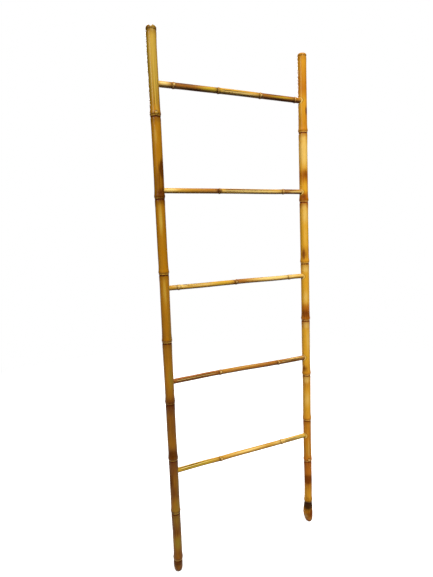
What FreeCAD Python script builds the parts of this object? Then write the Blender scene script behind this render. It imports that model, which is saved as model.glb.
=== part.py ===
import FreeCAD, Part
import math
import os

# A ladder of whole bamboo canes. The stiles stand along Z, the rungs run along X and the pegs are
# driven in from the back, which faces +Y. The origin is on the floor, midway between the feet.

os.makedirs("parts", exist_ok=True)

# Overall sizes, in millimetres
left_stile_height = 1800.0
right_stile_height = 1795.0
stile_spacing = 561.0
bottom_rung_height = 365.5
rung_pitch = 316.5

# Canes of the stiles: outside diameters between the nodes, at the foot and at the top
left_foot_diameter = 30.6
left_top_diameter = 32.6
right_foot_diameter = 30.0
right_top_diameter = 31.6
stile_wall = 4.5
stile_node_wall = 4.0
stile_ridge_rise = 1.6
stile_ridge_height = 6.0
stile_flare_length = 22.0
stile_bud_radius = 5.5
stile_bud_proud = 0.8
stile_groove_radius = 6.0
stile_groove_depth = 1.1

# Canes of the rungs, which are thick-walled and nearly solid
rung_diameter = {"bottom_rung": 17.0, "lower_rung": 17.5, "middle_rung": 16.5, "upper_rung": 17.0,
                 "top_rung": 19.0}
rung_ridge_rise = 1.2
rung_ridge_height = 3.0
rung_flare_length = 9.0
rung_bud_radius = 3.4
rung_bud_proud = 0.6
rung_groove_radius = 5.0
rung_groove_depth = 1.3

# Joints: the end of each rung goes through the inner wall of the stile, crosses its bore and is
# locked by a whittled, eight-sided peg from the back
mortise_clearance = 0.15
rung_end_gap = 0.3
peg_width = 4.4
peg_sides = 8
peg_clearance = 0.1
peg_past_rung = 1.0
peg_head_proud = 0.2
overrun = 20.0

# Cut top of each stile, just above a node, with its edge rounded over in steps
top_flat_diameter = 20.0
top_round_steps = 3

# Left foot: the cane ends in a rounded stub. Right foot: a crooked root end.
left_foot_flat_diameter = 13.0
right_foot_flat_diameter = 14.0
root_bulge = 3.6

# Node heights as shares of the stile's height, from the foot up
left_node_share = (0.0245, 0.121, 0.227, 0.3373, 0.4532, 0.578, 0.712, 0.852, 0.993)
right_node_share = (0.0478, 0.1443, 0.2384, 0.3401, 0.4602, 0.5816, 0.7086, 0.8472, 0.995)

# Places of the rungs above the bottom rung, as shares of the pitch
rung_step_share = {"bottom_rung": 0.0, "lower_rung": 0.995, "middle_rung": 1.987, "upper_rung": 2.975,
                   "top_rung": 4.0}

# Node places along each rung, as shares of the way from the left stile's axis to the right one's
rung_node_share = {
    "bottom_rung": (0.313, 0.775),
    "lower_rung": (0.330, 0.762),
    "middle_rung": (0.080, 0.462, 0.862),
    "upper_rung": (0.370, 0.828),
    "top_rung": (0.105, 0.387, 0.673, 0.930),
}

# Buds, the scars of cut branches: the node that bears one, counted from the cane's start, and its
# place round the cane, as a share of a turn from the front towards a rung's top or a stile's left
left_bud_share = ((7, 0.022),)
right_bud_share = ((1, 0.040),)
rung_bud_share = {
    "bottom_rung": ((0, 0.03),),
    "lower_rung": ((0, 0.045), (1, 0.022)),
    "middle_rung": ((0, 0.055), (1, 0.014)),
    "upper_rung": ((0, 0.014),),
    "top_rung": ((0, 0.014), (2, -0.014)),
}
bud_taper_share = 0.6

# Grooves, where a bud pressed on the cane as it grew: the stretch that bears one, its place as a
# share of a turn, and the share of the stretch that it fades over. Stretch 0 is before the first node.
left_groove_share = ((8, 0.022, 0.75),)
right_groove_share = ((2, 0.040, 0.5),)
rung_groove_share = {
    "bottom_rung": ((0, 0.11, 0.9), (2, 0.055, 0.9)),
    "lower_rung": ((0, 0.04, 0.9), (2, 0.033, 0.9)),
    "middle_rung": ((1, 0.14, 0.6),),
    "upper_rung": ((1, 0.014, 0.9),),
    "top_rung": ((2, -0.028, 0.7),),
}

# Outline of the left foot: shares of the height of its lowest node above the floor, and shares of
# the cane's radius
left_foot_share = ((0.08, 0.66), (0.28, 0.88), (0.60, 1.0))

# Sections of the root end: shares of the height of the lowest node above the floor, shares of the
# cane's radius, and shares of the root's bulge, away from the ladder's middle
root_section_share = ((0.79, 1.10, -0.14), (0.65, 1.21, -0.54), (0.50, 1.25, -0.70), (0.345, 1.20, -0.35),
                      (0.195, 1.08, 0.32), (0.047, 0.82, 0.62))
root_tip_share = 0.75

front = FreeCAD.Vector(0, -1, 0)
back = FreeCAD.Vector(0, 1, 0)
up = FreeCAD.Vector(0, 0, 1)
along = FreeCAD.Vector(1, 0, 0)
origin = FreeCAD.Vector(0, 0, 0)


class Outline:
    """Half of a lengthwise section of a cane, in the XZ plane, which turns into a round solid."""

    def __init__(self, height):
        self.start = FreeCAD.Vector(0, 0, height)
        self.end = self.start
        self.edges = []

    def to(self, radius, height):
        point = FreeCAD.Vector(radius, 0, height)
        self.edges.append(Part.makeLine(self.end, point))
        self.end = point

    def round_in(self, radius, height, steps):
        """A quarter round from the point reached to a smaller radius, further up."""
        width = self.end.x - radius
        base = self.end.z
        for step in range(1, steps + 1):
            angle = math.radians(90 * step / steps)
            self.to(radius + width * math.cos(angle), base + (height - base) * math.sin(angle))

    def solid(self):
        self.to(0, self.end.z)
        self.edges.append(Part.makeLine(self.end, self.start))
        return Part.Face(Part.Wire(self.edges)).revolve(origin, up, 360)


class Cane:
    """The sizes that every cane has. The kinds of cane below add their own."""

    def __init__(self, first_diameter, last_diameter, length, node_shares):
        self.first_radius = first_diameter / 2
        self.last_radius = last_diameter / 2
        self.length = length
        self.nodes = [share * length for share in node_shares]

    def radius(self, height):
        return self.first_radius + (self.last_radius - self.first_radius) * height / self.length


class StileCane(Cane):
    wall = stile_wall
    ridge_rise = stile_ridge_rise
    ridge_height = stile_ridge_height
    flare_length = stile_flare_length
    bud_radius = stile_bud_radius
    bud_proud = stile_bud_proud
    groove_radius = stile_groove_radius
    groove_depth = stile_groove_depth


class RungCane(Cane):
    ridge_rise = rung_ridge_rise
    ridge_height = rung_ridge_height
    flare_length = rung_flare_length
    bud_radius = rung_bud_radius
    bud_proud = rung_bud_proud
    groove_radius = rung_groove_radius
    groove_depth = rung_groove_depth


def add_node_and_stretch(outline, cane, node, following):
    """The ridge swells steeply above the node and flares out into the straight stretch, which runs
    up to the following node."""
    radius = cane.radius((node + following) / 2)
    crest = node + cane.ridge_height
    outline.to(radius + cane.ridge_rise, crest)
    outline.to(radius, crest + min(cane.flare_length, (following - crest) / 2))
    outline.to(radius, following)


def facing(turn_share):
    """The way out of a standing cane at a share of a turn from its front."""
    angle = 2 * math.pi * turn_share
    return FreeCAD.Vector(-math.sin(angle), -math.cos(angle), 0)


def bud(cane, node, turn_share):
    """The trimmed stub of a branch: a low knob that stands just proud of the ridge."""
    outward = facing(turn_share)
    root = cane.radius(node) / 2
    reach = cane.radius(node) + cane.ridge_rise + cane.bud_proud - root
    foot = outward * root + up * (node + cane.ridge_height)
    return Part.makeCone(cane.bud_radius, cane.bud_radius * bud_taper_share, reach, foot, outward)


def groove(cane, low, high, turn_share, fade_share):
    """A round cutter that lies along the cane, deepest above the lower node, and lifts clear."""
    outward = facing(turn_share)
    start = low + cane.ridge_height + cane.flare_length
    fade = fade_share * (high - start)
    axis_distance = cane.radius(start) + cane.groove_radius - cane.groove_depth
    centre = outward * axis_distance + up * start
    run = up * fade + outward * (cane.groove_depth + cane.ridge_rise)
    cutter = Part.makeCylinder(cane.groove_radius, run.Length, centre, run)
    return cutter.fuse(Part.makeSphere(cane.groove_radius, centre))


def dress(body, cane, buds, grooves):
    """Adds the buds of a cane and cuts its grooves."""
    body = body.fuse([bud(cane, cane.nodes[index], turn_share) for index, turn_share in buds])
    levels = [0] + cane.nodes + [cane.length]
    for index, turn_share, fade_share in grooves:
        body = body.cut(groove(cane, levels[index], levels[index + 1], turn_share, fade_share))
    return body


def root_end(cane):
    """The crooked root end of the right stile, lofted through round sections with shifted centres."""
    node = cane.nodes[0]
    radius = cane.radius(node)
    sections = [(node, radius, 0)]
    for height_share, radius_share, shift_share in root_section_share:
        sections.append((height_share * node, radius_share * radius, shift_share * root_bulge))
    sections.append((0, right_foot_flat_diameter / 2, root_tip_share * root_bulge))
    rings = []
    for height, ring_radius, shift in sections:
        centre = FreeCAD.Vector(shift, 0, height)
        rings.append(Part.Wire(Part.makeCircle(ring_radius, centre, up)))
    return Part.makeLoft(rings, True, True)


def stub_end(outline, cane):
    """The left foot: a stub below the lowest node, rounded off to a small flat."""
    outline.to(left_foot_flat_diameter / 2, 0)
    for height_share, radius_share in left_foot_share:
        outline.to(radius_share * cane.radius(0), height_share * cane.nodes[0])
    outline.to(cane.radius(cane.nodes[0]), cane.nodes[0])


def cut_top(outline, cane):
    """The cane is cut just above its last node, and the edge of the cut is rounded over."""
    last = cane.nodes[-1]
    outline.to(cane.radius(last) + cane.ridge_rise / 2, last)
    outline.round_in(top_flat_diameter / 2, cane.length, top_round_steps)


def stile(cane, buds, grooves, with_root):
    """A whole cane with its foot, nodes and cut top, hollow between the nodes."""
    first = cane.nodes[0]
    outline = Outline(first if with_root else 0)
    if with_root:
        outline.to(cane.radius(first), first)
    else:
        stub_end(outline, cane)
    for node, following in zip(cane.nodes[:-1], cane.nodes[1:]):
        add_node_and_stretch(outline, cane, node, following)
    cut_top(outline, cane)
    body = outline.solid()
    if with_root:
        body = body.fuse(root_end(cane))
    hollows = []
    for low, high in zip(cane.nodes[:-1], cane.nodes[1:]):
        bore_radius = cane.radius((low + high) / 2) - cane.wall
        base = up * (low + stile_node_wall / 2)
        hollows.append(Part.makeCylinder(bore_radius, high - low - stile_node_wall, base, up))
    return dress(body, cane, buds, grooves).cut(hollows)


def rung(name, cane, reach):
    """A cane along Z, from the left stile's axis at nought, that reaches past both axes."""
    outline = Outline(-reach[-1])
    outline.to(cane.first_radius, -reach[-1])
    outline.to(cane.first_radius, cane.nodes[0])
    levels = cane.nodes + [cane.length + reach[1]]
    for node, following in zip(levels[:-1], levels[1:]):
        add_node_and_stretch(outline, cane, node, following)
    return dress(outline.solid(), cane, rung_bud_share[name], rung_groove_share[name])


def end_past_axis(stile_cane, height, rung_radius):
    """How far a rung goes past the stile's axis before its rim meets the far wall of the bore."""
    reach = stile_cane.radius(height) - stile_cane.wall - rung_end_gap
    return math.sqrt(reach ** 2 - rung_radius ** 2)


def to_ladder(shape, height):
    """Lays a rung along X, from the left stile's axis, at its height."""
    shape.rotate(origin, back, 90)
    shape.translate(FreeCAD.Vector(-stile_spacing / 2, 0, height))
    return shape


def peg(width, axis, head_depth, point_depth):
    """A whittled peg, or the hole that closes round it, driven from the back."""
    corner = width / 2 / math.cos(math.pi / peg_sides)
    ring = []
    for side in range(peg_sides + 1):
        angle = 2 * math.pi * (side + 0.5) / peg_sides
        ring.append(axis + back * head_depth + along * (corner * math.cos(angle)) + up * (corner * math.sin(angle)))
    return Part.Face(Part.makePolygon(ring)).extrude(front * (head_depth + point_depth))


def main():
    canes = {
        -1: StileCane(left_foot_diameter, left_top_diameter, left_stile_height, left_node_share),
        1: StileCane(right_foot_diameter, right_top_diameter, right_stile_height, right_node_share),
    }
    stiles = {
        -1: stile(canes[-1], left_bud_share, left_groove_share, False),
        1: stile(canes[1], right_bud_share, right_groove_share, True),
    }
    for side, body in stiles.items():
        body.translate(along * (side * stile_spacing / 2))

    pieces = {}
    pegs = {-1: [], 1: []}
    for name, diameter in rung_diameter.items():
        height = bottom_rung_height + rung_step_share[name] * rung_pitch
        radius = diameter / 2
        cane = RungCane(diameter, diameter, stile_spacing, rung_node_share[name])
        reach = {side: end_past_axis(canes[side], height, radius) for side in canes}
        body = to_ladder(rung(name, cane, reach), height)
        for side in canes:
            axis = FreeCAD.Vector(side * stile_spacing / 2, 0, height)
            mortise = Part.makeCylinder(radius + mortise_clearance, overrun * 2, axis, along * -side)
            surface = canes[side].radius(height)
            point_depth = radius + peg_past_rung
            pegs[side].append(peg(peg_width, axis, surface + peg_head_proud, point_depth))
            hole = peg(peg_width + 2 * peg_clearance, axis, surface + overrun, point_depth)
            stiles[side] = stiles[side].cut([mortise, hole])
            body = body.cut(hole)
        pieces[name] = body

    pieces["left_stile"] = stiles[-1]
    pieces["right_stile"] = stiles[1]
    pieces["left_stile_pegs"] = Part.makeCompound(pegs[-1])
    pieces["right_stile_pegs"] = Part.makeCompound(pegs[1])
    for name, shape in pieces.items():
        box = shape.BoundBox
        print(name, "solids", len(shape.Solids), "valid", shape.isValid(), "volume", round(shape.Volume),
              "x", round(box.XMin, 2), round(box.XMax, 2), "y", round(box.YMin, 2), round(box.YMax, 2),
              "z", round(box.ZMin, 2), round(box.ZMax, 2))
        shape.exportStep("parts/" + name + ".step")


main()
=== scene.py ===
# %% [markdown]
# A leaning ladder of whole bamboo canes, dressed for its portrait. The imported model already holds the
# right pieces in the right places. Here each cane gets the skin that a lathe and a boolean can't give it:
# sheath scars, swollen nodes, the flat that a bud presses into the stem, and a stem that is never quite
# straight. The lights and the camera come last.

# %% Load the frame
import bmesh
import bpy
import math
from mathutils import Matrix, Vector


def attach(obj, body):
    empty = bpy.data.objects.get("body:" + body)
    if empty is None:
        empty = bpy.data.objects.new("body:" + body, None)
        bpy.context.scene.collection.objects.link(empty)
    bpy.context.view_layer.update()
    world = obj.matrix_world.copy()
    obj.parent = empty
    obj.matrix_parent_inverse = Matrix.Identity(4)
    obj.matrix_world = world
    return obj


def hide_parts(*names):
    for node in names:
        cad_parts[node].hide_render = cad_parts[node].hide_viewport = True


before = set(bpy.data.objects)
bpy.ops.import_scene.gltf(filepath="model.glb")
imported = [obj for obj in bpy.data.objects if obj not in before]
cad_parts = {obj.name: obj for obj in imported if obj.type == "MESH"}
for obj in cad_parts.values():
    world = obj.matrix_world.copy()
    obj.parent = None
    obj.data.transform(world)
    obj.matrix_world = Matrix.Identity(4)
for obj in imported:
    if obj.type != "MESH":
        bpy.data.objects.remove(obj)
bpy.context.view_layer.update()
print("frame nodes:", sorted(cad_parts))

# %% [markdown]
# Bamboo is measured here in millimetres from the foot of each cane, as a ladder maker would, and a cane is
# brought to metres when it is finished. The stiles stand on their axes, 561 mm apart, and the rungs lie
# between them. These are the same values as in the part's source.

# %% The canes and their nodes
MM = 0.001
SPACING = 561.0
LEFT_HEIGHT = 1800
RIGHT_HEIGHT = 1795
RUNG_HEIGHTS = {"bottom_rung": 365.5, "lower_rung": 680.4, "middle_rung": 994.4, "upper_rung": 1307.1,
                "top_rung": 1631.5}
LEFT_SHARES = (0.0245, 0.121, 0.227, 0.3373, 0.4532, 0.578, 0.712, 0.852, 0.993)
RIGHT_SHARES = (0.0478, 0.1443, 0.2384, 0.3401, 0.4602, 0.5816, 0.7086, 0.8472, 0.995)
LEFT_NODES = [LEFT_HEIGHT * share for share in LEFT_SHARES]
RIGHT_NODES = [RIGHT_HEIGHT * share for share in RIGHT_SHARES]
RUNG_NODES = {
    "bottom_rung": (0.313, 0.775),
    "lower_rung": (0.330, 0.762),
    "middle_rung": (0.080, 0.462, 0.862),
    "upper_rung": (0.370, 0.828),
    "top_rung": (0.105, 0.387, 0.673, 0.930),
}
print("nodes of the left stile, in mm:", [round(height) for height in LEFT_NODES])

# %% [markdown]
# A cane's outline changes quickly at a node and hardly at all between nodes. At a node the stem narrows a
# little, then comes the thin edge left by the fallen sheath, then the swollen ridge, and a flare back to
# the stem. The outline could be drawn by hand for each node, but there are 31 of them. So the stiles share
# one small table of rows, and the rungs another: the height above the node and the change in radius.

# %% The outline of a node
STILE_NODE = ((-26, 0.0), (-12, 0.25), (-6, 0.1), (-3.5, -0.5), (-1.6, -0.65), (-0.7, -0.45), (-0.2, 0.35),
              (0.5, 0.45), (1.2, -0.1), (2.4, 0.25), (4.5, 1.1), (7, 1.55), (9.5, 1.4), (13, 0.8), (18, 0.35),
              (28, 0.0))
RUNG_NODE = ((-14, 0.0), (-6, 0.1), (-3, -0.1), (-1.4, -0.45), (-0.7, -0.5), (-0.2, 0.2), (0.4, 0.3),
             (0.9, -0.05), (1.6, 0.3), (2.8, 1.3), (4.2, 1.5), (6, 1.05), (9, 0.4), (14, 0.0))


def between(table, place):
    """Reads a table of (place, value) rows, easing from row to row."""
    if place <= table[0][0]:
        return table[0][1]
    for (low, first), (high, second) in zip(table[:-1], table[1:]):
        if place <= high:
            share = (place - low) / (high - low)
            share = share * share * (3 - 2 * share)
            return first + (second - first) * share
    return table[-1][1]


def nearest(nodes, height):
    """How far above its nearest node a height is, or below it where negative."""
    return min((height - node for node in nodes), key=abs)


print("steps in one node:", len(STILE_NODE))

# %% [markdown]
# The skin of a cane is a spun profile, as on a lathe. The profile is a row of vertices joined by edges, and
# bmesh's spin takes it round the axis. A spin that goes all the way round needs use_merge, or the first
# and the last profile stay apart and the seam shows. The ends of the profile lie on the axis, so the spin
# stacks many vertices there, and remove_doubles closes each pole.

# %% Spin a cane
def heights_of(nodes, low, high, node_table, step):
    """The heights at which a cane's profile has a point: close at the nodes, wide between them."""
    places = {low, high}
    for node in nodes:
        for offset, _ in node_table:
            places.add(node + offset)
    count = int((high - low) / step)
    for index in range(1, count):
        place = low + (high - low) * index / count
        if abs(nearest(nodes, place)) > abs(node_table[0][0]):
            places.add(place)
    return sorted(place for place in places if low <= place <= high)


def spin(profile, sides):
    """A closed skin round Z from (radius, height) points."""
    skin = bmesh.new()
    points = [skin.verts.new((0, -radius, height)) for radius, height in profile]
    edges = [skin.edges.new(pair) for pair in zip(points[:-1], points[1:])]
    bmesh.ops.spin(skin, geom=points + edges, axis=(0, 0, 1), cent=(0, 0, 0), angle=2 * math.pi,
                   steps=sides, use_merge=True)
    bmesh.ops.remove_doubles(skin, verts=skin.verts, dist=0.001)
    bmesh.ops.recalc_face_normals(skin, faces=skin.faces)
    return skin


trial = spin([(0, 0), (15, 0), (15, 100), (0, 100)], 80)
print("a plain tube of 80 sides has", len(trial.verts), "vertices: two rings and two poles")
trial.free()

# %% [markdown]
# A place on a cane is a height and a turn, which says how far round the stem it is. The marks on a cane
# fade out softly, so one function, a bump, is behind them all.

# %% Turns and bumps
def turn_of(x, y):
    """Where a point is round a standing cane: 0 at the front, a quarter towards the left."""
    return math.atan2(-x, -y) / (2 * math.pi)


def turn_gap(turn, other):
    """The shorter way round between two turns."""
    return (turn - other + 0.5) % 1 - 0.5


def bump(distance, width):
    """1 in the middle, fading smoothly to 0 over about twice the width."""
    return math.exp(-(distance / width) ** 2)


print("turn of the left side:", turn_of(-1, 0))

# %% [markdown]
# Scorch marks and olive patches lie where a torch or a sheath left them, and so do pale stretches, but some
# pale stretches on the stiles are painted highlights where the light runs along the stem. They are not random
# on the real ladder, so each is a row here: what it is, its height and half height, its turn and half turn,
# and its strength. CHAR is burnt black, on the feet and at one node. How brown a stem is all round has rows
# of its own, of height and brownness, and on the left stile that brown is partly painted shade towards the
# foot.
# A painted image could do the same, but rows can be moved and rescaled.

# %% Patches of colour on the stiles
KINDS = range(5)
BROWN, OLIVE, SCORCH, PALE, CHAR = KINDS
PATCH_REACH = 2.5
EYE_HEIGHT = 1154.7
# LEFT_BROWN makes the stile browner towards the foot: partly the cane's own brown, partly painted shade where
# the light falls off lower down.
LEFT_BROWN = ((0, 0.7), (60, 0.75), (100, 0.45), (150, 0.9), (190, 0.8), (240, 0.4), (280, 0.85), (330, 0.7),
              (420, 1.0), (460, 0.5), (550, 0.6), (600, 1.0), (640, 0.4), (690, 0.2), (820, 0.5), (870, 0.3),
              (1000, 0.0), (1180, 0.15), (1230, 0.0), (1290, 0.65), (1320, 0.55), (1410, 0.2), (1500, 0.15),
              (1535, 0.5), (1560, 0.0), (1780, 0.0), (1790, 0.7))
# Painted highlights: the narrow PALE rows at 1478, 1215 and 980 mm are light streaks along the stem.
LEFT_PATCHES = (
    (PALE, 1700, 150, 0.0, 0.16, 1.0), (OLIVE, 1690, 150, 0.20, 0.12, 0.9),
    (BROWN, 1600, 60, -0.14, 0.07, 0.7), (PALE, 1478, 34, 0.08, 0.08, 0.55),
    (SCORCH, 1374, 26, -0.07, 0.10, 1.7), (SCORCH, 1352, 60, 0.0, 0.2, 0.35),
    (SCORCH, 1296, 22, -0.04, 0.2, 0.95), (PALE, 1215, 60, 0.06, 0.07, 0.75),
    (PALE, 980, 60, 0.05, 0.07, 0.6), (OLIVE, 850, 120, -0.1, 0.08, 0.5),
    (OLIVE, 690, 45, -0.02, 0.10, 0.8), (SCORCH, 600, 18, 0.05, 0.25, 0.6),
    (PALE, 460, 40, -0.14, 0.04, 0.4), (SCORCH, 422, 18, 0.08, 0.22, 0.95),
    (SCORCH, 330, 40, 0.17, 0.08, 0.9), (OLIVE, 320, 60, -0.08, 0.1, 0.5),
    (SCORCH, 290, 25, 0.06, 0.12, 0.35), (OLIVE, 240, 30, -0.05, 0.12, 0.6),
    (CHAR, 212, 4, 0.16, 0.05, 0.8), (CHAR, 212, 4, -0.08, 0.04, 0.8), (OLIVE, 200, 60, 0.0, 0.2, 0.6),
    (SCORCH, 135, 24, 0.06, 0.16, 0.45), (OLIVE, 100, 26, 0.02, 0.18, 1.0),
    (CHAR, 22, 5, 0.05, 0.30, 0.7), (SCORCH, 12, 14, 0.14, 0.12, 0.6),
)
RIGHT_BROWN = ((0, 0.7), (110, 0.4), (190, 0.9), (240, 0.95), (290, 0.55), (410, 0.65), (460, 0.25),
               (510, 0.0), (590, 0.5), (640, 0.35), (690, 0.0), (780, 0.0), (810, 0.9), (870, 0.85),
               (905, 0.0), (1000, 0.0), (1090, 0.5), (1130, 0.0), (1230, 0.0), (1260, 0.8), (1290, 0.9),
               (1320, 0.05), (1370, 0.85), (1400, 0.2), (1440, 0.0), (1540, 0.6), (1630, 0.3), (1680, 0.7),
               (1770, 0.35))
# The PALE rows at 1453, 1225, 913 and 508 mm are partly the cane's pale skin and partly painted highlight.
RIGHT_PATCHES = (
    (BROWN, 1700, 50, 0.22, 0.08, 0.9), (SCORCH, 1598, 14, -0.07, 0.06, 1.3),
    (PALE, 1505, 20, 0.06, 0.14, 0.5), (PALE, 1453, 55, 0.06, 0.2, 1.1),
    (SCORCH, 1372, 24, 0.02, 0.12, 0.7), (SCORCH, 1288, 15, 0.10, 0.14, 0.9),
    (PALE, 1225, 40, 0.06, 0.16, 0.8), (PALE, 1150, 60, 0.05, 0.09, 0.45),
    (SCORCH, 1076, 24, 0.14, 0.10, 0.9), (PALE, 913, 30, 0.07, 0.14, 0.6),
    (SCORCH, 848, 20, 0.08, 0.20, 0.95), (PALE, 740, 60, 0.02, 0.09, 0.5),
    (SCORCH, 632, 16, 0.16, 0.12, 0.8), (PALE, 508, 35, 0.07, 0.16, 0.6),
    (SCORCH, 400, 16, 0.14, 0.12, 0.3), (SCORCH, 232, 16, 0.12, 0.20, 0.4),
    (SCORCH, 174, 20, 0.08, 0.30, 1.35), (SCORCH, 150, 30, 0.00, 0.2, 0.4),
    (SCORCH, 92, 10, 0.06, 0.30, 0.5), (CHAR, 64, 20, 0.10, 0.30, 1.15),
    (SCORCH, 30, 22, -0.02, 0.2, 0.95), (PALE, 22, 14, 0.17, 0.07, 0.5),
)
# The pale rows just below the nodes are partly the cane's pale skin and partly painted highlight.
RIGHT_PATCHES += tuple((PALE, node - 20, 16, 0.09, 0.18, 0.85) for node in RIGHT_NODES[3:8])


def patches_at(rows, height, turn):
    """The strength of each kind of patch at one place."""
    found = [0.0 for _ in KINDS]
    for kind, middle, half_height, middle_turn, half_turn, strength in rows:
        off = abs(height - middle) / half_height
        if off < PATCH_REACH:
            here = strength * bump(off, 1) * bump(turn_gap(turn, middle_turn) / half_turn, 1)
            found[kind] = max(found[kind], here)
    return found


def as_seen(height, nearer):
    """The rows were read off along the cane's axis, and its front is nearer to the eye."""
    return EYE_HEIGHT + (height - EYE_HEIGHT) * nearer


print("patches:", len(LEFT_PATCHES), "on the left,", len(RIGHT_PATCHES), "on the right")

# %% [markdown]
# Three things press the skin in or push it out. A bud leaves a knob on the ridge, with a dark eye above it.
# The stretch above a bud keeps a long hollow, pale inside and with dark lips. And the hole for a rung has a
# pale, scraped rim. Each function says how far the skin moves in mm, how dark it is and how pale. The parts
# of a bud are measured in its own size, and a rim in mm from the edge of its hole.

# %% Buds, grooves and joints
KNOB_RISE = 1.3
KNOB_HEIGHT = 0.26
EYE_RISE = 2.2
EYE_DEPTH = 0.22
BUD_REACH = 8
RIM_DEPTH = 0.5
RIM_PALEST = 1.9
RIM_EDGE = 4.7


def bud_marks(size, side, rise):
    """A knob of this size, its eye, and the dark line round it."""
    from_knob = math.hypot(side, rise - KNOB_RISE * size) / size
    knob = bump(from_knob, 0.75)
    eye = bump(math.hypot(side * 1.2, rise - EYE_RISE * size) / size, 0.5)
    line = bump(from_knob - 1.25, 0.22)
    return size * (KNOB_HEIGHT * knob - EYE_DEPTH * eye), max(eye, 0.6 * line), 1.2 * knob


def groove_marks(depth, width, side, along, lips):
    """A hollow that starts at once above its node and runs out slowly."""
    fade = min(1.0, along * 12) * (1 - along) ** 0.35
    lip = bump((abs(side) - 0.8 * width) / width, 0.34)
    return -depth * fade * bump(side / width, 0.8), lips * fade * lip, 0.8 * fade * bump(side / width, 0.5)


def joint_marks(outside):
    """The rim of a hole, by how far outside the hole a point is."""
    dark = max(0.5 * bump(outside - RIM_EDGE, 0.9), bump(outside, 0.4))
    return -RIM_DEPTH * bump(outside, 0.9), dark, 1.5 * bump(outside - RIM_PALEST, 1.7)


def marks_at(cane, x, y, height):
    """All the marks at one place of a cane, together."""
    turn = turn_of(x, y)
    girth = 2 * math.pi * math.hypot(x, y)
    marks = [(0.0, 0.0, 0.0)]
    for node, bud_turn, size in cane["buds"]:
        if abs(height - node) < BUD_REACH * size:
            marks.append(bud_marks(size, turn_gap(turn, bud_turn) * girth, height - node))
    for low, high, groove_turn, depth, width in cane["grooves"]:
        if low < height < high:
            side = turn_gap(turn, groove_turn) * girth
            marks.append(groove_marks(depth, width, side, (height - low) / (high - low), cane["lips"]))
    if x * cane["inner"] > 0:
        outside = min(math.hypot(y, height - level) - radius for level, radius in cane["joints"])
        marks.append(joint_marks(outside))
    moves, darks, pales = zip(*marks)
    return sum(moves), max(darks), max(pales)


print("a bud's knob stands out by", round(bud_marks(5.5, 0, 7)[0], 2), "mm")

# %% [markdown]
# One function finishes every cane. No stem is straight or round, so it makes the spun skin a touch oval and
# lets it drift by a millimetre or so. It moves each vertex by its marks, writes the attributes for the
# finish, and makes the object. "grain" is the place in the cane's own straight space, so that fibres follow
# the stem through every bend. "patch" holds brown, olive and scorch, and on a rung the scorch also carries a
# painted shade along the underside. "mark" holds pale, which is partly painted highlight, then dark and the
# height above the nearest node in mm. That height jumps from one node to the next halfway between them, so
# "near" says how near the node is, and the finish draws rings only where it is above 0. A sawn top gets no
# ring.

# %% Finish a cane
OVAL = 0.012
NEAR_NODE = 40
CUT_END = 12
BELOW_RING = -9
# Painted shade: the turn and the width of a rung's underside, which is darkened through the scorch channel.
SHADED_UNDERSIDE = -0.28
SHADED_UNDERSIDE_WIDTH = 0.13


def finish_cane(skin, name, cane, place):
    """Moves a spun skin into its grown form, and makes the piece that stands for a node."""
    grain = skin.verts.layers.float_vector.new("grain")
    patch = skin.verts.layers.float_vector.new("patch")
    mark = skin.verts.layers.float_vector.new("mark")
    near = skin.verts.layers.float.new("near")
    for vert in skin.verts:
        x, y, height = vert.co
        radius = math.hypot(x, y)
        turn = turn_of(x, y)
        off = nearest(cane["nodes"], height)
        push, dark, pale = marks_at(cane, x, y, height)
        row_height = as_seen(height, cane["nearer"])
        found = patches_at(cane["patches"], row_height, turn)
        found[BROWN] = max(found[BROWN], between(cane["brown"], row_height))
        # Painted shade: a dark band along the rung's underside, where light from above leaves shadow, goes
        # into the scorch channel.
        underside_shade = bump(turn_gap(turn, SHADED_UNDERSIDE) / SHADED_UNDERSIDE_WIDTH, 1)
        found[SCORCH] = max(found[SCORCH], cane["underside_shade"] * underside_shade)
        if height > cane["top"] - CUT_END:
            off = min(off, BELOW_RING)
            dark = max(dark, 0.45 * bump(height - cane["top"], 1.3))
        scale = 1.0
        if radius > 0.01:
            oval = 1 + OVAL * math.cos(4 * math.pi * (turn - cane["oval"]))
            scale = oval + push * min(1, radius / cane["radius"]) / radius
        vert[grain] = (x, y, height + cane["offset"])
        vert[patch] = (found[BROWN], found[OLIVE], found[SCORCH])
        vert[mark] = (max(pale, found[PALE]), max(dark, found[CHAR]), off)
        vert[near] = max(0.0, 1 - abs(off) / NEAR_NODE)
        drift, sway = between(cane["drift"], height), between(cane["sway"], height)
        vert.co = (x * scale + drift, y * scale + sway, height)
        if "shape" in cane:
            cane["shape"](vert, turn, height)
    bmesh.ops.scale(skin, verts=skin.verts, vec=(MM, MM, MM))
    bmesh.ops.transform(skin, matrix=place, verts=skin.verts)
    bmesh.ops.recalc_face_normals(skin, faces=skin.faces)
    mesh = bpy.data.meshes.new(name)
    skin.to_mesh(mesh)
    skin.free()
    mesh.shade_smooth()
    piece = bpy.data.objects.new(name, mesh)
    bpy.context.scene.collection.objects.link(piece)
    print(name, "faces", len(mesh.polygons))
    return piece


# %% [markdown]
# The stiles are grown canes of the thick kind. Each has its nodes, a slow swell towards them, a top that is
# rounded over, and a foot that is trimmed to a blunt stub. A lathe tool could follow the same outline, so
# it is worked out as one radius for each height. Around the holes the rows stand closer, for clean rims.

# %% The outline of a stile
STILE_SIDES = 80
STILE_STEP = 7
SWELL = 0.35
WAIST = 0.15
TOP_ROUNDING = 0.82
HOLE_STEP = 1.25
HOLE_STEPS = 12
RUNG_RADIUS = {"bottom_rung": 8.5, "lower_rung": 8.75, "middle_rung": 8.25, "upper_rung": 8.5,
               "top_rung": 9.5}
RUNG_HOLES = [(RUNG_HEIGHTS[name], RUNG_RADIUS[name]) for name in RUNG_HEIGHTS]
HOLE_ROWS = [level + step * HOLE_STEP for level in RUNG_HEIGHTS.values()
             for step in range(-HOLE_STEPS, HOLE_STEPS + 1)]


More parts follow.
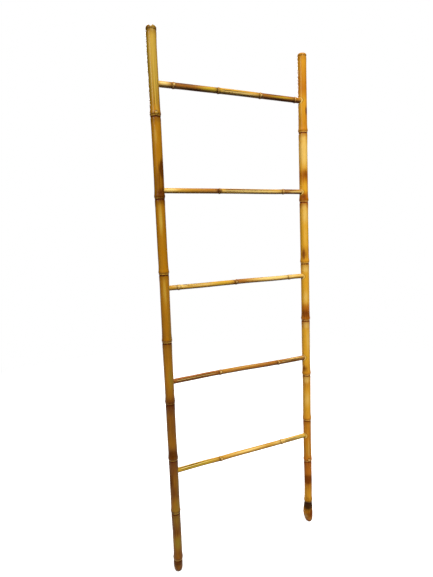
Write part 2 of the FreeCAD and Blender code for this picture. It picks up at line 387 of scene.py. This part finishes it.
def stile_radius(cane, height):
    """The radius of a stile's cane, with its nodes and the swell towards each of them."""
    nodes = cane["nodes"]
    plain = cane["foot"] + (cane["head"] - cane["foot"]) * height / nodes[-1]
    below = [node for node in nodes if node < height]
    above = [node for node in nodes if node > height]
    if below and above:
        share = (height - below[-1]) / (above[0] - below[-1])
        plain += SWELL * (2 * share - 1) ** 4 - WAIST
    return plain + between(STILE_NODE, nearest(nodes, height))


def top_round(cane, height):
    """How much of the radius is left where the cut top is rounded over."""
    share = max(0, (height - cane["round_from"]) / (cane["height"] - cane["round_from"]))
    return math.sqrt(1 - (share * TOP_ROUNDING) ** 2)


def stile_profile(cane):
    """The row of points to spin, from the axis at the foot to the axis at the top."""
    rows = heights_of(cane["nodes"], 0, cane["height"], STILE_NODE, STILE_STEP)
    profile = [(0, 0)]
    for height in sorted(set(rows + HOLE_ROWS + cane["end_rows"])):
        radius = stile_radius(cane, height) * top_round(cane, height) * between(cane["stub"], height)
        profile.append((radius, height))
    profile.append((0, cane["height"]))
    return profile


print("holes in a stile:", len(RUNG_HOLES))

# %% [markdown]
# The stems drift a little from their axes. A curve modifier could bend them too, but rows say how far off
# a stem is at a height. These are height and drift to the right, in mm.

# %% The drift of the stiles
LEFT_DRIFT = ((0, -0.4), (25, -0.9), (60, 0.1), (135, 0.4), (205, -0.3), (410, 0.4), (510, -0.4), (665, 0.0),
              (770, -0.4), (900, 0.4), (1035, 1.0), (1115, 0.2), (1285, 0.2), (1350, 0.8), (1480, 0.8),
              (1550, 0.1), (1735, -1.0), (1800, -0.1))
RIGHT_DRIFT = ((0, -0.5), (80, -0.6), (160, 0.6), (260, -0.2), (335, -0.8), (460, -0.8), (570, 0.2),
               (715, -0.6), (875, 0.2), (970, 0.4), (1050, 0.0), (1230, -1.0), (1275, -0.5), (1455, -0.8),
               (1520, -0.3), (1700, -0.6), (1795, -0.5))
print("widest drift:", max(abs(drift) for _, drift in LEFT_DRIFT + RIGHT_DRIFT), "mm")

# %% [markdown]
# The left stile is sawn off just above a node, where two lobes of the sheath scar stand with a notch between
# them. The right stile keeps its root end, which is crooked: it swells towards the ladder, and its tip turns
# outwards. No spin can give such forms, so both are made by moving vertices of the spun skin. The notch
# sinks a wedge into the dome, and the root swells each ring and slides it sideways, by its height.

# %% The top and the root
NOTCH_FOOT = 1786
NOTCH_DEPTH = 6.5
NOTCH_WIDTH = 3.2
ROOT_LUMP = 0.25
ROOT_SWELL = ((0, 0.80), (4, 0.93), (17, 1.07), (30, 1.18), (43, 1.235), (56, 1.19), (68, 1.09), (85, 1.0))
ROOT_SHIFT = ((0, 2.4), (4, 2.2), (17, 1.1), (30, -1.2), (43, -2.4), (56, -1.9), (68, -0.5), (85, 0.0))


def shape_left_top(vert, turn, height):
    """Two lobes with a notch between them on the sawn top of the left stile."""
    if height > NOTCH_FOOT:
        share = (height - NOTCH_FOOT) / (LEFT_HEIGHT - NOTCH_FOOT)
        side = -vert.co.x * 0.95 - vert.co.y * 0.31
        across = vert.co.x * 0.95 - vert.co.y * 0.31
        notch = bump(across + 1.0, NOTCH_WIDTH) * min(1, max(0, (side + 12) / 10))
        vert.co.z -= NOTCH_DEPTH * notch * share * share


def shape_root(vert, turn, height):
    """The swollen, crooked root end of the right stile."""
    if height < ROOT_SWELL[-1][0]:
        swell = between(ROOT_SWELL, height)
        vert.co.x = vert.co.x * swell + between(ROOT_SHIFT, height)
        vert.co.y = vert.co.y * swell
        lump = math.sin(turn * 6 * math.pi + height * 0.09)
        lump += 0.6 * math.sin(turn * 10 * math.pi - height * 0.17)
        vert.co.x -= ROOT_LUMP * lump * math.sin(2 * math.pi * turn)
        vert.co.y -= ROOT_LUMP * lump * math.cos(2 * math.pi * turn)


print("the root is widest at", max(ROOT_SWELL, key=lambda row: row[1])[0], "mm")

# %% [markdown]
# The left stile is the browner cane. Its foot is a stub, and a long groove runs up from its one bud.

# %% Build the left stile
STILE_BUD = 5.5
left_cane = {
    "height": LEFT_HEIGHT, "foot": 15.7, "head": 16.3, "round_from": LEFT_NODES[-1] + 2,
    "stub": ((0, 0.42), (1, 0.62), (3, 0.76), (8, 0.90), (14, 0.97), (20, 1.0)),
    "end_rows": [1, 3, 6, 10, 15, 20, 1793, 1795, 1797, 1798.5, 1799.5],
    "nodes": LEFT_NODES, "top": LEFT_NODES[-1], "radius": 15.8, "oval": 0.1, "offset": 0.0,
    "joints": RUNG_HOLES, "inner": 1, "nearer": 1.0113,
    "patches": LEFT_PATCHES, "brown": LEFT_BROWN, "underside_shade": 0.0, "lips": 0.6,
    "drift": LEFT_DRIFT, "sway": ((0, 0.0), (500, 0.4), (1000, -0.3), (1500, 0.4), (1800, 0.0)),
    "buds": ((LEFT_NODES[7], 0.022, STILE_BUD),),
    "grooves": ((LEFT_NODES[7] + 22, LEFT_NODES[7] + 200, 0.022, 1.0, 4.5),),
    "shape": shape_left_top,
}
left_skin = spin(stile_profile(left_cane), STILE_SIDES)
left_place = Matrix.Translation((-SPACING / 2 * MM, 0, 0))
left_stile = finish_cane(left_skin, "left_cane_skin", left_cane, left_place)

# %% [markdown]
# The right stile is the golden cane, 5 mm shorter, and it ends in its own root.

# %% Build the right stile
right_cane = {
    "height": RIGHT_HEIGHT, "foot": 15.0, "head": 15.8, "round_from": 1787,
    "stub": ((0, 0.52), (1, 0.68), (4, 0.84), (12, 0.97), (20, 1.0)),
    "end_rows": [1, 2, 4, 7, 12, 18, 24, 30, 36, 42, 48, 1789, 1791, 1793, 1794.5],
    "nodes": RIGHT_NODES, "top": RIGHT_NODES[-1], "radius": 15.4, "oval": 0.3, "offset": 5000.0,
    "joints": RUNG_HOLES, "inner": -1, "nearer": 1.0091,
    "patches": RIGHT_PATCHES, "brown": RIGHT_BROWN, "underside_shade": 0.0, "lips": 0.45,
    "drift": RIGHT_DRIFT, "sway": ((0, 0.0), (400, -0.4), (900, 0.5), (1400, -0.2), (1795, 0.0)),
    "buds": ((RIGHT_NODES[1], 0.040, STILE_BUD),),
    "grooves": ((RIGHT_NODES[1] + 22, RIGHT_NODES[1] + 100, 0.040, 0.9, 4.5),),
    "shape": shape_root,
}
right_skin = spin(stile_profile(right_cane), STILE_SIDES)
right_place = Matrix.Translation((SPACING / 2 * MM, 0, 0))
right_stile = finish_cane(right_skin, "right_cane_skin", right_cane, right_place)

# %% [markdown]
# The rungs are thin canes, each with its own knobs, hollows, bends and colours. A row of RUNG_BUDS is a
# node's number and the bud's turn. A row of RUNG_GROOVES is a stretch's number, the hollow's turn and the
# share of the stretch that it takes. RUNG_REACH is how far each end goes past a stile's axis, and RUNG_LIFT
# how far up the stem bends, both in mm. Only knobs and hollows that face the front are made.

# %% The rungs' own forms
RUNG_SIDES = 56
RUNG_STEP = 4
RUNG_BUD = 4.4
GROOVE_DEPTH = 1.2
GROOVE_WIDTH = 3.6
PAST_NODE = 11
PAST_STILE = 17
RUN_OUT = 8
NO_SAWN_TOP = 1000.0
FIRST_GRAIN = 9000.0
GRAIN_APART = 900
RUNG_REACH = {"bottom_rung": (6.4, 5.8), "lower_rung": (6.4, 5.7), "middle_rung": (7.3, 6.6),
              "upper_rung": (7.3, 6.5), "top_rung": (6.2, 5.3)}
RUNG_BUDS = {
    "bottom_rung": ((0, 0.03),),
    "lower_rung": ((0, 0.045), (1, 0.022)),
    "middle_rung": ((0, 0.055), (1, 0.014)),
    "upper_rung": ((0, 0.014),),
    "top_rung": ((0, 0.014), (2, -0.014)),
}
RUNG_GROOVES = {
    "bottom_rung": ((0, 0.11, 0.9), (2, 0.055, 0.9)),
    "lower_rung": ((0, 0.04, 0.9), (2, 0.033, 0.9)),
    "middle_rung": ((1, 0.14, 0.6),),
    "upper_rung": ((1, 0.014, 0.9),),
    "top_rung": ((2, -0.028, 0.7),),
}
RUNG_LIFT = {
    "bottom_rung": ((0, 0.0), (110, 0.5), (180, -0.9), (240, 0.2), (430, -0.6), (561, 0.0)),
    "lower_rung": ((0, -0.8), (60, 0.0), (170, 1.6), (260, 1.4), (400, -0.9), (460, -1.6), (561, -0.8)),
    "middle_rung": ((0, 0.0), (130, -0.3), (230, 0.8), (300, 1.8), (420, 1.1), (520, 2.0), (561, 1.6)),
    "upper_rung": ((0, 0.0), (200, 0.6), (420, 0.2), (500, 1.2), (561, 1.2)),
    "top_rung": ((0, 0.3), (120, 1.4), (280, 1.6), (400, 1.1), (561, 0.4)),
}
RUNG_BROWN = {
    "bottom_rung": ((0, 0.0), (170, 0.3), (300, 0.4), (430, 0.3), (445, 0.0), (561, 0.0)),
    "lower_rung": ((0, 0.95), (180, 0.85), (200, 0.6), (420, 0.85), (561, 0.85)),
    "middle_rung": ((0, 0.2), (250, 0.2), (262, 0.8), (330, 0.5), (420, 0.2), (561, 0.1)),
    "upper_rung": ((0, 0.1), (100, 0.35), (205, 0.8), (215, 0.2), (460, 0.2), (470, 0.8), (561, 0.4)),
    "top_rung": ((0, 0.1), (55, 0.5), (65, 0.7), (150, 0.8), (210, 0.3), (225, 0.0), (375, 0.3), (385, 0.9),
                 (520, 0.7), (561, 0.4)),
}
RUNG_PATCHES = {
    "bottom_rung": ((SCORCH, 60, 50, 0.17, 0.035, 1.0), (OLIVE, 80, 80, 0.08, 0.14, 1.1),
                    (PALE, 290, 90, 0.12, 0.09, 0.8), (PALE, 470, 80, 0.10, 0.12, 0.8),
                    (SCORCH, 470, 50, 0.06, 0.02, 0.8), (OLIVE, 510, 50, 0.05, 0.2, 0.7)),
    "lower_rung": ((SCORCH, 80, 80, 0.0, 0.04, 0.9), (SCORCH, 130, 60, 0.10, 0.03, 0.9),
                   (PALE, 300, 100, 0.14, 0.07, 0.5), (SCORCH, 400, 40, 0.0, 0.04, 0.5),
                   (SCORCH, 500, 50, 0.02, 0.03, 0.8), (PALE, 500, 60, 0.13, 0.05, 0.8)),
    "middle_rung": ((PALE, 60, 30, 0.08, 0.12, 0.9), (PALE, 130, 60, 0.05, 0.10, 0.8),
                    (OLIVE, 200, 60, 0.0, 0.2, 0.5), (SCORCH, 262, 10, 0.0, 0.3, 0.5),
                    (BROWN, 280, 60, -0.04, 0.10, 0.8), (PALE, 430, 110, 0.08, 0.12, 1.1)),
    "upper_rung": ((PALE, 30, 40, 0.04, 0.12, 0.9), (SCORCH, 208, 10, 0.0, 0.3, 0.8),
                   (BROWN, 270, 60, 0.12, 0.05, 0.9), (PALE, 335, 120, 0.0, 0.09, 1.3),
                   (SCORCH, 340, 110, 0.11, 0.025, 1.0), (SCORCH, 490, 50, 0.12, 0.06, 0.9),
                   (PALE, 520, 40, -0.02, 0.06, 0.8)),
    "top_rung": ((PALE, 30, 22, 0.0, 0.12, 0.9), (SCORCH, 100, 50, 0.12, 0.08, 0.9),
                 (SCORCH, 130, 60, -0.17, 0.07, 1.0), (OLIVE, 190, 50, -0.02, 0.12, 0.9),
                 (SCORCH, 216, 10, 0.0, 0.3, 0.6), (PALE, 300, 70, -0.05, 0.08, 1.1),
                 (SCORCH, 330, 60, -0.14, 0.03, 1.0), (SCORCH, 430, 50, 0.10, 0.06, 0.9),
                 (SCORCH, 470, 80, -0.15, 0.06, 1.1), (OLIVE, 470, 60, 0.0, 0.06, 0.7)),
}

print("bud grooves on the rungs:", sum(len(grooves) for grooves in RUNG_GROOVES.values()))

# %% [markdown]
# A rung is spun standing up, like a stile, and a quarter turn then lays it along X. Turning the object
# would do it too, but a matrix that goes into the mesh leaves the object itself at the origin. Each hollow
# starts just past a node, or past the stile, and runs for its share of the stretch and RUN_OUT further.
# Every rung reads its grain at another place, so that no two have the same fibres.

# %% Build the rungs
def lay_down(height):
    """From standing at the origin to lying along X between the stiles. The front stays in front."""
    turn = Matrix(((0, 0, 1, 0), (0, 1, 0, 0), (-1, 0, 0, 0), (0, 0, 0, 1)))
    return Matrix.Translation((-SPACING / 2 * MM, 0, height * MM)) @ turn


def rung_grooves(name, nodes):
    """The grooves of a rung, as (low, high, turn, depth, width)."""
    levels = [0] + nodes + [SPACING]
    grooves = []
    for stretch, turn, share in RUNG_GROOVES[name]:
        start = levels[stretch] + (PAST_NODE if stretch else PAST_STILE)
        end = start + share * (levels[stretch + 1] - start) + RUN_OUT
        grooves.append((start, end, turn, GROOVE_DEPTH, GROOVE_WIDTH))
    return grooves


rungs = {}
for index, (name, height) in enumerate(RUNG_HEIGHTS.items()):
    nodes = [share * SPACING for share in RUNG_NODES[name]]
    low = -RUNG_REACH[name][0]
    high = SPACING + RUNG_REACH[name][1]
    profile = [(0, low)]
    for place in heights_of(nodes, low, high, RUNG_NODE, RUNG_STEP):
        profile.append((RUNG_RADIUS[name] + between(RUNG_NODE, nearest(nodes, place)), place))
    profile.append((0, high))
    cane = {
        "nodes": nodes, "top": NO_SAWN_TOP, "radius": RUNG_RADIUS[name], "oval": 0.13 * index,
        "offset": FIRST_GRAIN + GRAIN_APART * index, "joints": (), "inner": 0, "nearer": 1.0,
        # The underside of each rung gets painted shade at 0.75 of full strength.
        "patches": RUNG_PATCHES[name], "brown": RUNG_BROWN[name], "underside_shade": 0.75, "lips": 0.95,
        "drift": [(at, -lift) for at, lift in RUNG_LIFT[name]],
        "sway": ((0, 0.0), (150, 0.5), (280, -0.2), (420, 0.4), (561, 0.0)),
        "buds": [(nodes[at], turn, RUNG_BUD) for at, turn in RUNG_BUDS[name]],
        "grooves": rung_grooves(name, nodes),
    }
    rungs[name] = finish_cane(spin(profile, RUNG_SIDES), name + "_skin", cane, lay_down(height))

# %% [markdown]
# A finish is a graph of shader nodes, and graphs are hard to read as a list of calls. So a small class
# wraps a socket, and Python's own + - and * then add the Math nodes. Every other node comes from one method
# that takes its type, its settings and what goes into its sockets.

# %% Write shader maths as Python
class Signal:
    """A socket that can stand in a sum."""

    def __init__(self, finish, socket):
        self.finish = finish
        self.socket = socket

    def __add__(self, other):
        return self.finish.maths("ADD", self, other)

    def __sub__(self, other):
        return self.finish.maths("SUBTRACT", self, other)

    def __rsub__(self, other):
        return self.finish.maths("SUBTRACT", other, self)

    def __mul__(self, other):
        return self.finish.maths("MULTIPLY", self, other)

    __radd__ = __add__
    __rmul__ = __mul__


class Finish:
    """One node tree, a material's or the sky's, and the ways to add nodes to it."""

    def __init__(self, tree):
        self.tree = tree
        self.tree.nodes.clear()

    def node(self, kind, settings, inputs, output=0):
        """Adds a node: its settings first, then the values or links of its sockets."""
        made = self.tree.nodes.new("ShaderNode" + kind)
        for key, value in settings.items():
            setattr(made, key, value)
        for key, value in inputs.items():
            if isinstance(value, Signal):
                self.tree.links.new(value.socket, made.inputs[key])
            else:
                made.inputs[key].default_value = value
        return Signal(self, made.outputs[output]) if made.outputs else None

    def maths(self, operation, first, second):
        """One Math node."""
        return self.node("Math", {"operation": operation}, {0: first, 1: second})

    def size(self, value):
        """A value without its sign."""
        return self.node("Math", {"operation": "ABSOLUTE"}, {0: value})

    def step(self, value, low, high):
        """0 below low, 1 above high, and a smooth slope between. Low may be the larger one."""
        return self.node("MapRange", {"interpolation_type": "SMOOTHSTEP"},
                         {0: value, 1: low, 2: high, 3: 0.0, 4: 1.0})

    def blend(self, factor, first, second):
        """Mixes two colours."""
        return self.node("Mix", {"data_type": "RGBA"}, {0: factor, 6: first, 7: second}, 2)

    def stretch(self, vector, scale):
        """A vector scaled by its own amount along each axis."""
        return self.node("VectorMath", {"operation": "MULTIPLY"}, {0: vector, 1: scale})

    def noise(self, vector, scale, detail=3.0, rough=0.55):
        """Noise from 0 to 1 on a stretched vector."""
        return self.node("TexNoise", {}, {"Vector": self.stretch(vector, scale), "Scale": 1.0,
                                          "Detail": detail, "Roughness": rough})

    def attribute(self, name, output="Vector"):
        """What finish_cane wrote on the vertices under this name."""
        return self.node("Attribute", {"attribute_name": name}, {}, output)

    def parts(self, name):
        """The three numbers of a vector attribute."""
        vector = self.attribute(name)
        return [self.node("SeparateXYZ", {}, {0: vector}, index) for index in range(3)]


def new_material(name):
    """A material with nodes, and the finish that writes them."""
    material = bpy.data.materials.new(name)
    material.use_nodes = True
    return material, Finish(material.node_tree)


def paint(red, green, blue):
    """A colour as a screen shows it, 0 to 255, as the linear colour that a shader wants."""
    def linear(value):
        value = value / 255
        return value / 12.92 if value <= 0.04045 else ((value + 0.055) / 1.055) ** 2.4
    return (linear(red), linear(green), linear(blue), 1.0)


print("a gold of 222 on the screen is", round(paint(222, 162, 40)[0], 3), "in the shader")

# %% [markdown]
# Varnished bamboo is one recipe with different colours. The ground is a golden stem, browner or more olive
# where the attributes say so, with the edges of each patch broken up by streaks along the cane. Pale
# stretches lighten it, and on the stiles some of them are painted highlights. At each node a pale scar stands
# over a dark band that bleeds downwards. Scorch is the torch's work, and on the rungs the same tone is also a
# painted shade along the underside. CHAR, bud eyes and groove lips are darkest. A thin clear coat goes over
# all but the burnt and the shaded parts.

# %% The bamboo finish
DARKEST = paint(36, 14, 3)


def bamboo(name, gold, brown, olive, pale_tone, ring_tone, scorch_and_shade_tone, ring_strength):
    """The finish of one kind of cane."""
    material, finish = new_material(name)
    grain = finish.attribute("grain")
    near_node = finish.step(finish.attribute("near", "Fac"), 0.0, 0.15)
    browned, olived, scorched_and_shaded = finish.parts("patch")
    paled, darkened, off = finish.parts("mark")

    slow = finish.noise(grain, (0.035, 0.035, 0.009), 4.0)
    streak = finish.noise(grain, (0.28, 0.28, 0.007), 3.0)
    fibre = finish.noise(grain, (1.6, 1.6, 0.020), 4.0, 0.65)
    speck = finish.noise(grain, (0.55, 0.55, 0.30), 2.0, 0.4)

    brown_mask = finish.step(browned + (slow - 0.5) * 0.7 + (streak - 0.5) * 0.6, 0.0, 1.0)
    colour = finish.blend(brown_mask, gold, brown)
    olive_mask = finish.step(olived + (streak - 0.5) * 1.0, 0.1, 0.9)
    colour = finish.blend(olive_mask, colour, olive)
    # The pale mask holds the cane's pale stretches and, on the stiles, painted highlights.
    pale_mask = finish.step(paled + (streak - 0.5) * 0.9 + (slow - 0.5) * 0.4, 0.1, 0.9)
    colour = finish.blend(pale_mask * 0.9, colour, pale_tone)
    # The scorch mask holds torch marks, and on the rungs also the painted shade along the underside.
    scorch_and_shade_mask = finish.step(scorched_and_shaded + (streak - 0.5) * 1.1 + (fibre - 0.5) * 0.5, 0.1, 0.9)
    colour = finish.blend(scorch_and_shade_mask * 0.92, colour, scorch_and_shade_tone)
    colour = finish.blend(finish.step(fibre, 0.50, 0.72) * 0.30, colour, brown)
    colour = finish.blend(finish.step(fibre, 0.48, 0.30) * 0.22, colour, pale_tone)
    colour = finish.blend(finish.step(speck, 0.72, 0.78) * 0.7, colour, scorch_and_shade_tone)

    edge = off + (streak - 0.5) * 6.0
    halo = finish.step(edge, -24.0, -2.0) * finish.step(off, 0.5, -0.5)
    colour = finish.blend(halo * near_node * 0.45 * ring_strength, colour, scorch_and_shade_tone)
    rim = finish.step(edge, 16.0, 3.0) * finish.step(off, 0.5, 1.2)
    colour = finish.blend(rim * near_node * 0.40 * ring_strength, colour, brown)
    band = finish.step(edge, -7.0, -3.0) * finish.step(off, 0.2, -0.6) * near_node
    colour = finish.blend(band * ring_strength, colour, ring_tone)
    scar = finish.step(finish.size(off - 1.6), 1.5, 0.9)
    colour = finish.blend(scar * near_node * (1 - scorch_and_shade_mask) * 0.4, colour, pale_tone)
    colour = finish.blend(finish.step(darkened, 0.05, 0.9) * 0.96, colour, DARKEST)

    dark_parts = finish.step(band + scorch_and_shade_mask + darkened, 0.1, 0.9)
    roughness = 0.34 + fibre * 0.16 + dark_parts * 0.10
    height = fibre * 0.5 + streak * 0.5 + speck * 0.2
    normal = finish.node("Bump", {}, {"Strength": 0.25, "Distance": 0.0004, "Height": height})
    shader = finish.node("BsdfPrincipled", {}, {
        "Base Color": colour, "Roughness": roughness, "Normal": normal, "IOR": 1.5,
        "Coat Weight": 0.15 - dark_parts * 0.14, "Coat Roughness": 0.2, "Coat IOR": 1.45,
        "Specular IOR Level": 0.05})
    finish.node("OutputMaterial", {}, {"Surface": shader})
    print(name, "nodes", len(finish.tree.nodes))
    return material


left_finish = bamboo("left_cane", paint(172, 113, 12), paint(106, 56, 2), paint(142, 110, 24),
                     paint(196, 160, 62), paint(74, 27, 2), paint(82, 34, 0), 1.0)
right_finish = bamboo("right_cane", paint(222, 162, 40), paint(178, 98, 4), paint(192, 156, 56),
                      paint(234, 192, 98), paint(104, 40, 6), paint(112, 48, 4), 0.9)
rung_finish = bamboo("rung_cane", paint(196, 146, 44), paint(146, 82, 24), paint(190, 158, 38),
                     paint(234, 200, 118), paint(90, 44, 10), paint(74, 34, 5), 0.55)

# %% [markdown]
# The pegs are split from old cane and left bare, so they have no varnish: dry, pale end grain with the dark
# dots of its fibre bundles. They keep the shape that the part gives them, and only get this finish.

# %% The peg finish
peg_material, peg = new_material("peg_bamboo")
peg_place = peg.node("TexCoord", {}, {}, "Object")
dots = peg.node("TexVoronoi", {}, {"Vector": peg.stretch(peg_place, (900, 250, 900)), "Scale": 1.0})
dry = peg.noise(peg_place, (300, 40, 300), 3.0)
peg_colour = peg.blend(peg.step(dots, 0.32, 0.12) * 0.6, paint(196, 152, 88), paint(96, 60, 26))
peg_colour = peg.blend(peg.step(dry, 0.45, 0.7) * 0.4, peg_colour, paint(150, 104, 50))
peg_bump = peg.node("Bump", {}, {"Strength": 0.4, "Distance": 0.0003, "Height": dots + dry})
peg_shader = peg.node("BsdfPrincipled", {}, {"Base Color": peg_colour, "Roughness": 0.62 + dry * 0.15,
                                             "Normal": peg_bump, "IOR": 1.5})
peg.node("OutputMaterial", {}, {"Surface": peg_shader})
print("peg nodes", len(peg.tree.nodes))

# %% [markdown]
# Each skin now takes its finish, rides on the ladder's one body and stands for its node. The names of the
# slots are the record's, so that a scene can repaint a cane.

# %% Dress the frame
canes = [(left_stile, "left_stile", "left_cane", left_finish),
         (right_stile, "right_stile", "right_cane", right_finish)]
canes += [(piece, name, "rung_cane", rung_finish) for name, piece in rungs.items()]
for piece, node, slot, material in canes:
    piece.data.materials.append(material)
    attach(piece, "root")
    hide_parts(node)
for node in ("left_stile_pegs", "right_stile_pegs"):
    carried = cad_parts[node]
    for holder in carried.material_slots:
        holder.material = peg_material
print("dressed:", [piece.name for piece, _, _, _ in canes])

# %% [markdown]
# The floor has to look white and still keep the ladder's soft shadow. So the camera and reflections see pale
# paint with a glow, which goes over to plain white some way out. All other light meets a dim sheet, so that
# little of it comes back from below and the undersides of the rungs stay dark.

# %% The floor
WHITE = (1, 1, 1, 1)
FLOOR_REACH = 14
WHITE_FROM = 1.6
WHITE_AT = 3.2
floor_form = bmesh.new()
bmesh.ops.create_grid(floor_form, x_segments=1, y_segments=1, size=FLOOR_REACH)
floor_mesh = bpy.data.meshes.new("floor")
floor_form.to_mesh(floor_mesh)
floor_form.free()
floor = bpy.data.objects.new("floor", floor_mesh)
bpy.context.scene.collection.objects.link(floor)
floor_material, ground = new_material("floor")
floor_place = ground.node("TexCoord", {}, {}, "Object")
mottle = ground.noise(floor_place, (1.2, 1.2, 1.2), 2.0)
ground_colour = ground.blend(mottle, paint(238, 237, 235), paint(244, 243, 241))
matt = ground.node("BsdfDiffuse", {}, {"Color": ground_colour})
dim = ground.node("BsdfDiffuse", {}, {"Color": paint(50, 49, 47)})
glow = ground.node("Emission", {}, {"Color": WHITE, "Strength": 0.55})
white_out = ground.node("Emission", {}, {"Color": WHITE, "Strength": 1.0})
seen = ground.maths("MAXIMUM", ground.node("LightPath", {}, {}, "Is Camera Ray"),
                    ground.node("LightPath", {}, {}, "Is Glossy Ray"))
both = ground.node("AddShader", {}, {0: matt, 1: glow})
reach = ground.node("VectorMath", {"operation": "LENGTH"}, {0: floor_place}, "Value")
shown = ground.node("MixShader", {}, {0: ground.step(reach, WHITE_FROM, WHITE_AT), 1: both, 2: white_out})
ground_shader = ground.node("MixShader", {}, {0: seen, 1: dim, 2: shown})
ground.node("OutputMaterial", {}, {"Surface": ground_shader})
floor.data.materials.append(floor_material)
print("floor nodes", len(ground.tree.nodes))

# %% [markdown]
# The photograph was lit by a broad soft light from high up in front: the rungs are bright on top and dark
# below. The key lamp does that, and a weaker one fills in from the left, which leaves a soft streak left of
# the middle of each stile. A third one behind is only for views of the back. The world adds a low even
# light, and is white only to the camera.

# %% The lights
def lamp(name, place, aim, width, power):
    """A square area lamp at one place that shines at another."""
    light = bpy.data.lights.new(name, "AREA")
    light.shape = "SQUARE"
    light.size = width
    light.energy = power
    holder = bpy.data.objects.new(name, light)
    holder.location = place
    holder.rotation_euler = (Vector(aim) - Vector(place)).to_track_quat("-Z", "Y").to_euler()
    bpy.context.scene.collection.objects.link(holder)


lamp("key", (0.6, -4.0, 6.6), (0, 0, 0.9), 2.2, 600)
lamp("fill", (-4.5, -2.4, 3.6), (0, 0, 0.9), 2.0, 165)
lamp("back", (0.3, 4.6, 3.8), (0, 0, 0.9), 2.0, 210)

world = bpy.data.worlds.new("studio")
bpy.context.scene.world = world
world.use_nodes = True
sky = Finish(world.node_tree)
even = sky.node("Background", {}, {"Color": WHITE, "Strength": 0.06})
white = sky.node("Background", {}, {"Color": WHITE, "Strength": 1.0})
sky_seen = sky.node("LightPath", {}, {}, "Is Camera Ray")
sky_shader = sky.node("MixShader", {}, {0: sky_seen, 1: even, 2: white})
sky.node("OutputWorld", {}, {"Surface": sky_shader})
print("lamps:", [lamp_piece.name for lamp_piece in bpy.data.lights])

# %% [markdown]
# The camera stands where the photographer stood. Its place came from the ladder itself: the stiles' ends
# and the five rungs were matched by least squares. It looks along its own -Z, so its matrix is made from the
# direction it looks in and the direction that is up.

# %% The camera
CAMERA_PLACE = Vector((-0.7400, -1.3626, EYE_HEIGHT * MM))
LOOKS_ALONG = Vector((0.4261, 0.8972, -0.1159)).normalized()
CAMERA_UP = Vector((0.0839, 0.0884, 0.9925)).normalized()
SENSOR = 36.0
LENS_LENGTH = 27.57
to_right = LOOKS_ALONG.cross(CAMERA_UP).normalized()
up_again = to_right.cross(LOOKS_ALONG)
lens = bpy.data.cameras.new("camera")
lens.sensor_fit = "VERTICAL"
lens.sensor_width = SENSOR
lens.sensor_height = SENSOR
lens.lens = LENS_LENGTH
lens.clip_start = 0.05
camera = bpy.data.objects.new("camera", lens)
turned = Matrix((to_right, up_again, -LOOKS_ALONG)).transposed().to_4x4()
camera.matrix_world = Matrix.Translation(CAMERA_PLACE) @ turned
bpy.context.scene.collection.objects.link(camera)
bpy.context.scene.camera = camera
bpy.context.scene.view_settings.view_transform = "Standard"
print("the camera is", round(CAMERA_PLACE.length, 2), "m from the point between the ladder's feet")
